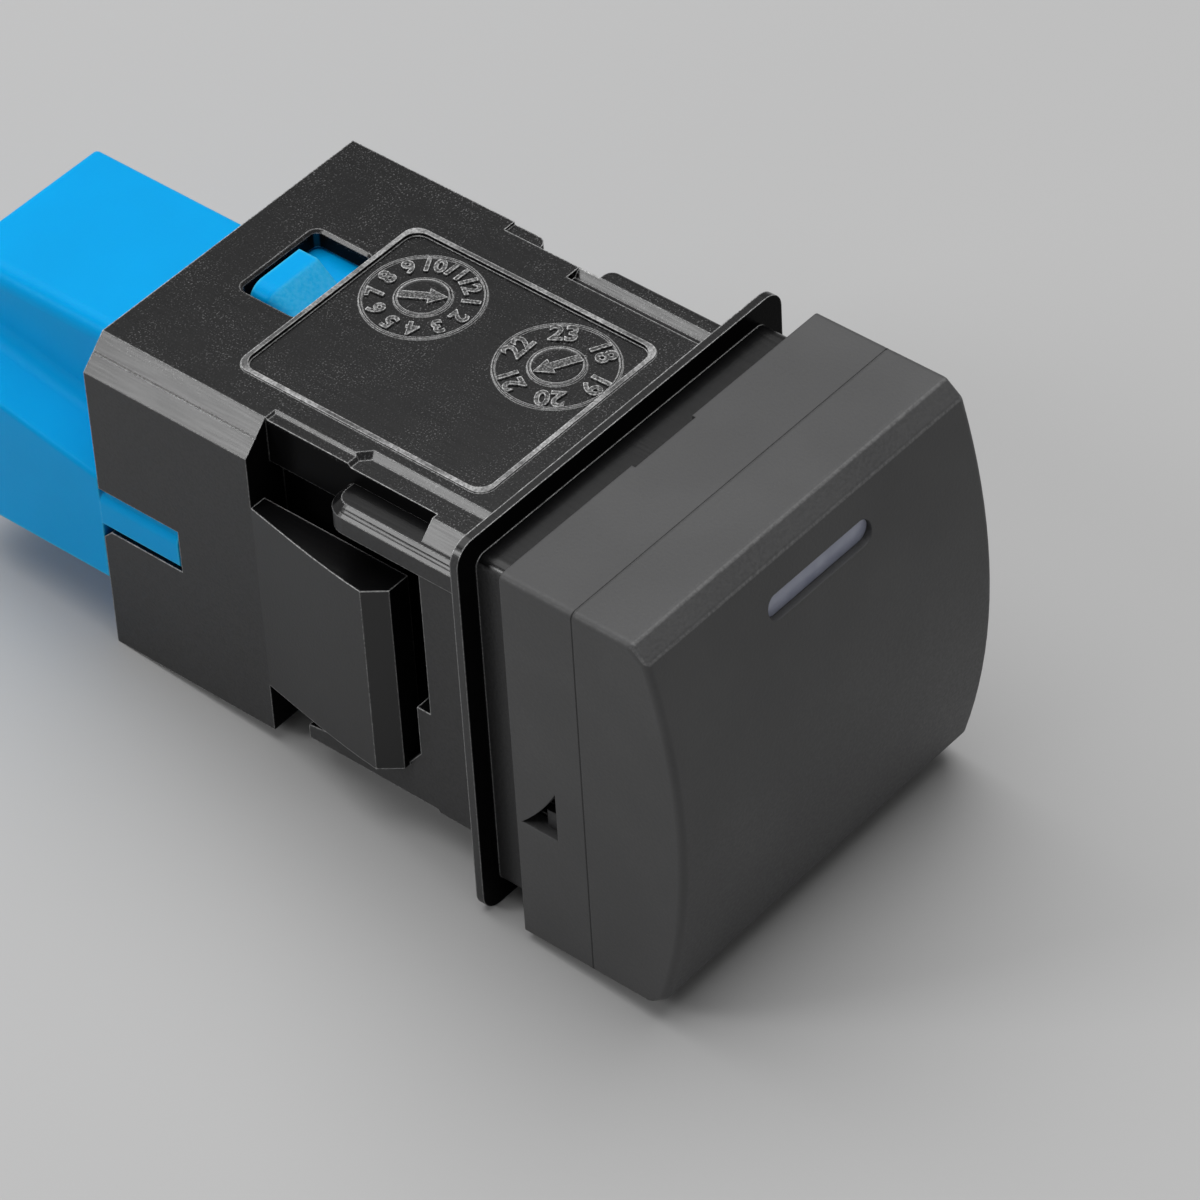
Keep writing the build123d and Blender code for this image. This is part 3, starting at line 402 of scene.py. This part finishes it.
# %% Light guide material
def guide_resin():
    """Bluish grey resin that lets a quarter of the light through."""
    material, tree, shader, place = new_material("light_guide_grey_resin")
    haze = noise(tree, place, 1.2 * MM)
    colour = tint(tree, spread(tree, haze, 0.0, 1.0), (0.45, 0.48, 0.62), (0.54, 0.57, 0.71))
    tree.links.new(colour, shader.inputs["Base Color"])
    tree.links.new(spread(tree, haze, 0.16, 0.26), shader.inputs["Roughness"])
    shader.inputs["Transmission Weight"].default_value = 0.25
    shader.inputs["IOR"].default_value = 1.49
    relief(tree, shader, haze, depth=0.002 * MM, edge=0.05 * MM)
    return material


guide_grey = guide_resin()
print(guide_grey.name)

# %% [markdown]
# ## Inner mouldings, board and metal
# The slider is dark grey acetal, which slides well without grease. The board has green
# lacquer over its tracks. Springs and latch wire are bright drawn wire, the terminals are
# tin-plated brass, and the wipers are phosphor bronze.

# %% Inner materials
def simple_plastic(name, dark, light, rough_low, rough_high, cell, edge):
    """A smooth plastic or resin with a faint cloud in colour and gloss."""
    material, tree, shader, place = new_material(name)
    cloud = noise(tree, place, cell)
    grain = noise(tree, place, 0.2 * MM, 2.0)
    tree.links.new(tint(tree, spread(tree, cloud, 0.0, 1.0), dark, light), shader.inputs["Base Color"])
    tree.links.new(spread(tree, grain, rough_low, rough_high), shader.inputs["Roughness"])
    relief(tree, shader, grain, depth=0.003 * MM, edge=edge)
    return material


def metal(name, dark, light, rough_low, rough_high, stretch):
    """A metal with drawing or rolling marks along one axis."""
    material, tree, shader, place = new_material(name)
    marks = noise(tree, stretched(tree, place, stretch), 0.15 * MM, 3.0)
    tree.links.new(tint(tree, spread(tree, marks, 0.0, 1.0), dark, light), shader.inputs["Base Color"])
    tree.links.new(spread(tree, marks, rough_low, rough_high), shader.inputs["Roughness"])
    shader.inputs["Metallic"].default_value = 1.0
    relief(tree, shader, marks, depth=0.003 * MM, edge=0.04 * MM)
    return material


slider_grey = simple_plastic("slider_dark_acetal", (0.016, 0.016, 0.017), (0.024, 0.024, 0.025),
                             rough_low=0.35, rough_high=0.5, cell=4.0 * MM, edge=0.08 * MM)
board_green = simple_plastic("board_green_lacquer", (0.012, 0.085, 0.035), (0.02, 0.12, 0.05),
                             rough_low=0.22, rough_high=0.34, cell=1.5 * MM, edge=0.04 * MM)
chip_black = simple_plastic("chip_glaze", (0.012, 0.012, 0.014), (0.03, 0.03, 0.034),
                            rough_low=0.25, rough_high=0.4, cell=0.8 * MM, edge=0.05 * MM)
lamp_clear = simple_plastic("lamp_clear_resin", (0.82, 0.84, 0.86), (0.9, 0.92, 0.94),
                            rough_low=0.05, rough_high=0.12, cell=2.0 * MM, edge=0.04 * MM)
lamp_shader = lamp_clear.node_tree.nodes["Principled BSDF"]
lamp_shader.inputs["Transmission Weight"].default_value = 0.85
lamp_shader.inputs["IOR"].default_value = 1.5
spring_wire = metal("spring_bright_wire", (0.45, 0.45, 0.44), (0.62, 0.62, 0.60),
                    rough_low=0.22, rough_high=0.34, stretch=(1, 1, 1))
terminal_tin = metal("terminal_tin_plate", (0.62, 0.62, 0.60), (0.74, 0.74, 0.72),
                     rough_low=0.24, rough_high=0.38, stretch=(1, 0.08, 1))
wiper_bronze = metal("wiper_bronze", (0.55, 0.31, 0.17), (0.68, 0.42, 0.25),
                     rough_low=0.24, rough_high=0.36, stretch=(1, 0.1, 1))
for finish in (slider_grey, board_green, chip_black, lamp_clear, spring_wire, terminal_tin, wiper_bronze):
    print(finish.name)

# %% [markdown]
# ## Dress the CAD nodes
# Each node keeps its mesh and gets its material by name.

# %% Assign materials
finish_of_node = {"button_cap": cap_matt, "holder": holder_black, "connector_base": base_blue,
                  "light_guide": guide_grey, "slider": slider_grey, "circuit_board": board_green,
                  "return_spring": spring_wire, "latch_pin": spring_wire, "latch_leaf": spring_wire}
for side in ("left", "right"):
    finish_of_node["wiper_" + side] = wiper_bronze
    finish_of_node["wiper_spring_" + side] = spring_wire
    finish_of_node["lamp_" + side] = lamp_clear
    finish_of_node["resistor_" + side] = chip_black
for number in range(1, 6):
    finish_of_node[f"terminal_{number}"] = terminal_tin
for name, finish in finish_of_node.items():
    nodes[name].data.materials.clear()
    nodes[name].data.materials.append(finish)
print("dressed:", len(finish_of_node), "of", len(nodes))

# %% [markdown]
# ## Return spring
# The coil is pressed shorter as the button goes in, while its rear end stays on the base.
# A copy of the CAD coil stands for it, with a mesh of its own, and rides on the body.

# %% Spring copy on the body
deselect_all()
spring = bpy.data.objects.new("return_coil", nodes["return_spring"].data.copy())
bpy.context.scene.collection.objects.link(spring)
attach(spring, "body")
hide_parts("return_spring")
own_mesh(spring)

# %% [markdown]
# ## Figures on the two dials
# A mould for small parts often carries two little dials that tell the month and the year
# of moulding: a turned insert with an arrow, and figures round it. The raised rings are
# in the CAD model. The figures are text, made a mesh, with each figure's foot towards
# the middle of its dial. Text is the quickest way to clean raised figures.

# %% Dial figures
DIAL_X = 2.84 * MM
MONTH_Y = 14.09 * MM
YEAR_Y = 5.91 * MM
DIAL_FLOOR = 9.08 * MM
FIGURE_RELIEF = 0.09 * MM
FIGURE_SWELL = 0.05 * MM
FIGURE_CIRCLE = 2.25 * MM
# Text size over the height of its figures
TEXT_PER_FIGURE = 1.35


def dial_figure(text, height, centre_y, angle):
    """One raised number on a dial, turned so that its foot points to the hub."""
    deselect_all()
    bpy.ops.object.text_add(location=(0, 0, 0))
    figure = bpy.context.object
    figure.data.body = text
    figure.data.size = height * TEXT_PER_FIGURE
    figure.data.extrude = FIGURE_RELIEF
    figure.data.offset = FIGURE_SWELL
    figure.data.resolution_u = 3
    figure.data.align_x = "CENTER"
    figure.data.align_y = "CENTER"
    bpy.ops.object.convert(target="MESH")
    spot = Vector((DIAL_X + FIGURE_CIRCLE * math.cos(angle),
                   centre_y + FIGURE_CIRCLE * math.sin(angle),
                   DIAL_FLOOR))
    figure.data.transform(Matrix.Translation(spot) @ Matrix.Rotation(angle - math.pi / 2, 4, "Z"))
    return figure


def dial_ring(name, texts, height, centre_y, start, step):
    """All numbers of one dial, clockwise, joined to one piece."""
    figures = [dial_figure(text, height, centre_y, start - step * i) for i, text in enumerate(texts)]
    select_only(*figures)
    bpy.ops.object.join()
    ring = bpy.context.object
    ring.name = name
    ring.data.name = name
    ring.data.materials.clear()
    ring.data.materials.append(mark_rough)
    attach(ring, "body")
    print(name, len(ring.data.polygons), "faces")


dial_ring("dial_figures_month", [str(n) for n in range(1, 13)], height=0.92 * MM,
          centre_y=MONTH_Y, start=math.radians(-62), step=math.radians(30))
dial_ring("dial_figures_year", [str(n) for n in range(18, 24)], height=1.08 * MM,
          centre_y=YEAR_Y, start=math.radians(-28), step=math.radians(60))

# %% [markdown]
# ## Hubs and arrows of the dials
# The turned insert in the middle of each dial is a small dished disc with a raised arrow.
# The disc is a cylinder whose top is inset and pushed down. The arrow is a bar joined to
# a three-sided head by a boolean. The discs cover the plainer arrows of the CAD model.

# %% Hubs and arrows
HUB_RADIUS = 1.25 * MM
HUB_FOOT = 9.06 * MM
HUB_TOP = 9.185 * MM
HUB_RIM = 0.12 * MM
HUB_DISH = 0.03 * MM
ARROW_TOP = 9.24 * MM
HEAD_RADIUS = 0.62 * MM
HEAD_MIDDLE = 0.58 * MM
BAR_MIDDLE = -0.35 * MM
BAR_LENGTH = 1.7 * MM
BAR_WIDTH = 0.50 * MM
BAR_HEIGHT_SHARE = 0.96
LOOKS_UP = 0.9


def settle(piece, name, finish):
    """Applies the place, names the piece, gives its finish and lets it ride on the body."""
    select_only(piece)
    bpy.ops.object.transform_apply(location=True, rotation=True, scale=True)
    piece.name = name
    piece.data.name = name
    piece.data.materials.clear()
    piece.data.materials.append(finish)
    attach(piece, "body")


def dial_hub(name, centre_y):
    """A dished disc inside the dial's inner ring."""
    deselect_all()
    bpy.ops.mesh.primitive_cylinder_add(vertices=64, radius=HUB_RADIUS, depth=HUB_TOP - HUB_FOOT,
                                        location=(DIAL_X, centre_y, (HUB_TOP + HUB_FOOT) / 2))
    disc = bpy.context.object
    bpy.ops.object.mode_set(mode="EDIT")
    bpy.ops.mesh.select_all(action="DESELECT")
    bpy.ops.object.mode_set(mode="OBJECT")
    for face in disc.data.polygons:
        face.select = face.normal.z > LOOKS_UP
    bpy.ops.object.mode_set(mode="EDIT")
    bpy.ops.mesh.inset(thickness=HUB_RIM)
    bpy.ops.transform.translate(value=(0, 0, -HUB_DISH))
    bpy.ops.object.mode_set(mode="OBJECT")
    settle(disc, name, holder_black)
    return disc


def dial_arrow(name, centre_y, angle):
    """A bar with a pointed head, turned about the dial's middle."""
    height = ARROW_TOP - HUB_TOP + 2 * HUB_DISH
    deselect_all()
    bpy.ops.mesh.primitive_cylinder_add(vertices=3, radius=HEAD_RADIUS, depth=height,
                                        location=(HEAD_MIDDLE, 0, 0), rotation=(0, 0, -math.pi / 2))
    head = bpy.context.object
    deselect_all()
    bpy.ops.mesh.primitive_cube_add(size=1, location=(BAR_MIDDLE, 0, 0))
    bar = bpy.context.object
    bar.scale = (BAR_LENGTH, BAR_WIDTH, height * BAR_HEIGHT_SHARE)
    join = bar.modifiers.new("head", "BOOLEAN")
    join.operation = "UNION"
    join.object = head
    select_only(bar)
    bpy.ops.object.modifier_apply(modifier=join.name)
    bpy.data.objects.remove(head, do_unlink=True)
    dial_middle = Vector((DIAL_X, centre_y, ARROW_TOP - height / 2))
    bar.location = dial_middle + Matrix.Rotation(angle, 3, "Z") @ Vector((BAR_MIDDLE, 0, 0))
    bar.rotation_euler = (0, 0, angle)
    settle(bar, name, mark_rough)
    return bar


for dial, centre_y, turn in (("month", MONTH_Y, -60), ("year", YEAR_Y, 151)):
    hub = dial_hub("dial_hub_" + dial, centre_y)
    arrow = dial_arrow("dial_arrow_" + dial, centre_y, math.radians(turn))
    print(dial, "hub:", len(hub.data.polygons), "faces, arrow:", len(arrow.data.polygons), "faces")

# %% [markdown]
# ## Bevelled rail and front corner
# The rail beside the left clip has a flat bevel round its upper edge and its rounded end,
# and the corner of the front band reaches a little further out. Both are boxes with
# bevelled edges, laid over the rounder shapes of the CAD model.

# %% Rail and corner
# All of these are in millimetres
NEAR = 0.01
FRONT = -0.02
RAIL_LEFT = -9.78
RAIL_RIGHT = -7.95
RAIL_REAR = 9.35
RAIL_TOP = 8.05
RAIL_BOTTOM = 6.60
RAIL_ROUND = 1.2
RAIL_BEVEL = 0.47
CORNER_LEFT = -9.15
CORNER_RIGHT = -7.9
CORNER_REAR = 3.81
CORNER_TOP = 8.895
CORNER_BOTTOM = 7.9
CORNER_BEVEL = 0.835


def add_box(low, high):
    """A box from its lowest to its highest corner, in millimetres."""
    deselect_all()
    middle = [(a + b) / 2 * MM for a, b in zip(low, high)]
    bpy.ops.mesh.primitive_cube_add(size=1, location=middle)
    box = bpy.context.object
    box.scale = [(b - a) * MM for a, b in zip(low, high)]
    bpy.ops.object.transform_apply(location=True, rotation=True, scale=True)
    return box


def bevel_where(piece, wanted, offset, segments):
    """Bevels the edges whose two ends both pass the test."""
    select_only(piece)
    bpy.ops.object.mode_set(mode="EDIT")
    bpy.ops.mesh.select_mode(type="EDGE")
    bpy.ops.mesh.select_all(action="DESELECT")
    bpy.ops.object.mode_set(mode="OBJECT")
    for edge in piece.data.edges:
        edge.select = all(wanted(piece.data.vertices[i].co / MM) for i in edge.vertices)
    bpy.ops.object.mode_set(mode="EDIT")
    bpy.ops.mesh.bevel(offset=offset * MM, segments=segments, affect="EDGES")
    bpy.ops.object.mode_set(mode="OBJECT")


def on_rail_end(point):
    """True on the upright edge that becomes the rail's rounded end."""
    return point.x < RAIL_LEFT + NEAR and point.y > RAIL_REAR - NEAR


def on_rail_top_edge(point):
    """True on the rail's upper edge: its left side, its rear end and the round between."""
    on_top = point.z > RAIL_TOP - NEAR
    on_side = point.x < RAIL_LEFT + NEAR
    on_rear = point.y > RAIL_REAR - NEAR
    on_round = point.x < RAIL_LEFT + RAIL_ROUND and point.y > RAIL_REAR - RAIL_ROUND
    return on_top and (on_side or on_rear or on_round)


def on_corner_edge(point):
    """True on the front corner's upper left edge."""
    return point.x < CORNER_LEFT + NEAR and point.z > CORNER_TOP - NEAR


rail = add_box((RAIL_LEFT, FRONT, RAIL_BOTTOM), (RAIL_RIGHT, RAIL_REAR, RAIL_TOP))
bevel_where(rail, on_rail_end, RAIL_ROUND, 8)
bevel_where(rail, on_rail_top_edge, RAIL_BEVEL, 1)
settle(rail, "rail_bevelled", holder_black)

corner = add_box((CORNER_LEFT, FRONT, CORNER_BOTTOM), (CORNER_RIGHT, CORNER_REAR, CORNER_TOP))
bevel_where(corner, on_corner_edge, CORNER_BEVEL, 1)
settle(corner, "front_corner", holder_black)
print("rail:", len(rail.data.polygons), "faces, corner:", len(corner.data.polygons), "faces")

# %% [markdown]
# ## Floor
# The switch lies on the lower edges of its flange and of the holder's rear band, so it
# leans back by about four and a half degrees. The floor is a plane laid through those
# two edges, which is simpler than tilting the switch.

# %% Floor plane
BAND_BOTTOM = -9.4 * MM
BAND_END = 24.4 * MM
FLOOR_WIDTH = 6.0
holder_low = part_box("holder")[0]
lean = math.atan2(BAND_BOTTOM - holder_low.z, BAND_END)
deselect_all()
bpy.ops.mesh.primitive_plane_add(size=FLOOR_WIDTH, location=(0, 0, holder_low.z),
                                 rotation=(lean, 0, 0))
floor = bpy.context.object
floor.name = "floor"
bpy.ops.object.transform_apply(location=True, rotation=True, scale=True)
print("lean:", round(math.degrees(lean), 2), "degrees")

floor_paper, floor_tree, floor_shader, floor_place = new_material("floor_pale_grey")
floor_cloud = spread(floor_tree, noise(floor_tree, floor_place, 60 * MM), 0.0, 1.0)
floor_colour = tint(floor_tree, floor_cloud, (0.515, 0.515, 0.515), (0.525, 0.525, 0.525))
floor_tree.links.new(floor_colour, floor_shader.inputs["Base Color"])
floor_shader.inputs["Roughness"].default_value = 0.75
floor.data.materials.append(floor_paper)

# %% [markdown]
# ## Studio light
# One broad soft lamp hangs above, and a smaller one stands behind on the left. The second
# one is what the bevels and round edges mirror towards the camera. The world fills the
# shadows softly, and shows a plain grey where it is seen, mirrored or looked through to.

# %% World and lamps
LAMP_TARGET = Vector((0, 6 * MM, 0))
SKY_STRENGTH = 0.16
SEEN_GREY = 0.34


def area_lamp(name, direction, distance, size, power):
    """A square soft lamp at a direction and distance, turned to the switch."""
    spot = Vector(direction).normalized() * distance + LAMP_TARGET
    deselect_all()
    bpy.ops.object.light_add(type="AREA", location=spot)
    lamp = bpy.context.object
    lamp.name = name
    lamp.data.shape = "SQUARE"
    lamp.data.size = size
    lamp.data.energy = power
    lamp.rotation_euler = (LAMP_TARGET - spot).to_track_quat("-Z", "Y").to_euler()
    return lamp


top_lamp = area_lamp("lamp_above", direction=(0.14, 0.17, 1.0), distance=0.70,
                     size=0.86, power=5.45)
edge_lamp = area_lamp("lamp_rear_left", direction=(-0.684, 0.496, 0.535), distance=0.60,
                      size=0.16, power=0.75)

world = bpy.data.worlds.new("studio")
bpy.context.scene.world = world
world.use_nodes = True
sky_tree = world.node_tree
sky = sky_tree.nodes["Background"]
sky.inputs["Color"].default_value = (1, 1, 1, 1)
sky.inputs["Strength"].default_value = SKY_STRENGTH
seen = sky_tree.nodes.new("ShaderNodeBackground")
seen.inputs["Color"].default_value = (SEEN_GREY, SEEN_GREY, SEEN_GREY, 1)
ray = sky_tree.nodes.new("ShaderNodeLightPath").outputs
seen_or_mirrored = compute(sky_tree, "MAXIMUM", ray["Is Camera Ray"], ray["Is Glossy Ray"])
looked_at = compute(sky_tree, "MAXIMUM", seen_or_mirrored, ray["Is Transmission Ray"])
sky_mix = sky_tree.nodes.new("ShaderNodeMixShader")
sky_tree.links.new(looked_at, sky_mix.inputs["Fac"])
sky_tree.links.new(sky.outputs["Background"], sky_mix.inputs[1])
sky_tree.links.new(seen.outputs["Background"], sky_mix.inputs[2])
sky_tree.links.new(sky_mix.outputs["Shader"], sky_tree.nodes["World Output"].inputs["Surface"])
print("lamps:", top_lamp.name, edge_lamp.name)

# %% [markdown]
# ## Camera
# The place and the lens were worked out from the switch's own straight edges in the
# photograph. The long lens, 0.3 metres away, keeps the edges nearly parallel, and the
# small shift puts the switch where it stands in the frame.

# %% Camera
AZIMUTH = math.radians(-47.203)
ELEVATION = math.radians(43.138)
ROLL = math.radians(-3.78)
EYE = Vector((-163.14, -147.26, 202.28)) * MM
FOCAL_PIXELS = 6469.9
FRAME_PIXELS = 1200.0
CENTRE_PIXEL = (568.3, 659.8)
SENSOR_WIDTH = 36.0
NEAREST = 0.01
FARTHEST = 20.0

backward = Vector((math.sin(AZIMUTH) * math.cos(ELEVATION),
                   -math.cos(AZIMUTH) * math.cos(ELEVATION),
                   math.sin(ELEVATION)))
level_right = Vector((math.cos(AZIMUTH), math.sin(AZIMUTH), 0))
level_up = backward.cross(level_right)
right = math.cos(ROLL) * level_right + math.sin(ROLL) * level_up
up = -math.sin(ROLL) * level_right + math.cos(ROLL) * level_up
deselect_all()
bpy.ops.object.camera_add(location=EYE)
camera = bpy.context.object
camera.rotation_euler = Matrix((right, up, backward)).transposed().to_euler()
camera.data.sensor_width = SENSOR_WIDTH
camera.data.sensor_fit = "HORIZONTAL"
camera.data.lens = FOCAL_PIXELS * SENSOR_WIDTH / FRAME_PIXELS
camera.data.shift_x = (FRAME_PIXELS / 2 - CENTRE_PIXEL[0]) / FRAME_PIXELS
camera.data.shift_y = (CENTRE_PIXEL[1] - FRAME_PIXELS / 2) / FRAME_PIXELS
camera.data.clip_start = NEAREST
camera.data.clip_end = FARTHEST
bpy.context.scene.camera = camera
print("lens:", round(camera.data.lens, 1), "mm")
